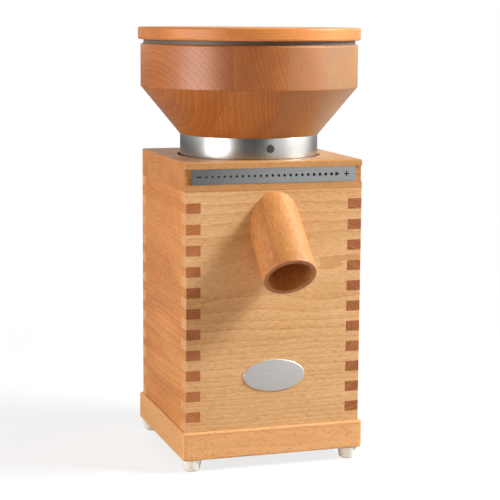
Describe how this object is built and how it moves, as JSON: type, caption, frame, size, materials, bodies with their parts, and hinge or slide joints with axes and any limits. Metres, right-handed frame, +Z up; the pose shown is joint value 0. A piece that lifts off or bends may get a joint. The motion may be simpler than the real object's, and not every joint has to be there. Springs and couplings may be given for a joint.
{
  "type": "electric grain mill",
  "caption": "Tabletop stone grain mill: finger-jointed wooden case on a plinth, slanting wooden flour spout, steel adjusting collar and turned wooden hopper with a lid.",
  "frame": {"origin": "on the floor, under the axis of the stones and the hopper", "axes": "+Z up along the stones' axis; the front with the spout faces -Y; +X to the right seen from the front"},
  "size_m": [0.1992, 0.2318, 0.383],
  "materials": {
    "beech_front": "satin oiled",
    "beech_side": "satin oiled",
    "beech_hopper": "satin oiled",
    "beech_lid": "satin oiled",
    "plywood": "matte",
    "steel": "brushed",
    "screw_steel": "zinc plated",
    "dark_plug": "matte",
    "white_rubber": "matte",
    "dark_rubber": "matte",
    "felt": "felt",
    "chamber_plastic": "matte",
    "stone": "rough, corundum in a ceramic bond",
    "cast_metal": "cast",
    "laminations": "varnished",
    "copper": "enamelled copper wire",
    "shaft_steel": "ground",
    "black_plastic": "gloss"
  },
  "bodies": {
    "housing": {"plinth_front_rail": "beech_side", "plinth_right_rail": "beech_side", "plinth_back_rail": "beech_side", "plinth_left_rail": "beech_side", "bottom_board": "plywood", "feet": "white_rubber", "foot_screws": "screw_steel", "plinth_screws": "screw_steel", "bottom_board_screws": "screw_steel", "front_panel": "beech_front", "back_panel": "beech_side", "left_panel": "beech_side", "right_panel": "beech_side", "top_plate": "beech_side", "scale_strip": "steel", "name_plate": "steel", "spout": "beech_lid", "milling_chamber": "chamber_plastic", "chamber_screws": "screw_steel", "shaft_seal": "felt", "motor_stator": "laminations", "motor_windings": "copper", "motor_top_bell": "cast_metal", "motor_bottom_bell": "cast_metal", "upper_bearing": "shaft_steel", "lower_bearing": "shaft_steel", "tie_bolts": "screw_steel", "motor_screws": "screw_steel", "capacitor": "cast_metal", "capacitor_clip": "screw_steel", "clip_screws": "screw_steel", "switch_frame": "black_plastic", "cord_gland": "black_plastic", "gland_nut": "black_plastic"},
    "rotor": {"motor_shaft": "shaft_steel", "rotor_core": "laminations", "cooling_fan": "black_plastic", "fan_clip": "shaft_steel", "stone_carrier": "cast_metal", "lower_stone": "stone", "clamp_nut": "cast_metal"},
    "dust_ring": {"dust_seal": "felt"},
    "hopper": {"adjusting_collar": "steel", "marker_dot": "dark_plug", "stone_holder": "chamber_plastic", "guard_grid": "chamber_plastic", "hopper_bowl": "beech_hopper", "hopper_screws": "screw_steel", "upper_stone": "stone", "stone_screws": "screw_steel"},
    "lid": {"lid": "beech_lid", "lid_ring": "dark_rubber"},
    "rocker": {"switch_rocker": "black_plastic"}
  },
  "joints": [
    {"name": "hopper_turn", "type": "hinge", "parent": "housing", "child": "dust_ring", "pos_m": [0, 0, 0.2698], "axis": [0, 0, 1], "range_deg": [-75, 75]},
    {"name": "hopper_rise", "type": "slide", "parent": "dust_ring", "child": "hopper", "axis": [0, 0, 1], "range_m": [-0.00083, 0.00083]},
    {"name": "lid_lift", "type": "slide", "parent": "hopper", "child": "lid", "axis": [0, 0, 1], "range_m": [0, 0.06]},
    {"name": "stone_spin", "type": "hinge", "parent": "housing", "child": "rotor", "pos_m": [0, 0, 0.2], "axis": [0, 0, 1], "continuous": true},
    {"name": "rocker_tilt", "type": "hinge", "parent": "housing", "child": "rocker", "pos_m": [-0.035, 0.078, 0.0875], "axis": [1, 0, 0], "range_deg": [-16, 0]}
  ],
  "couplings": [
    {"joint": "hopper_rise", "follows": "hopper_turn", "m_per_rad": 0.00063662}
  ]
}
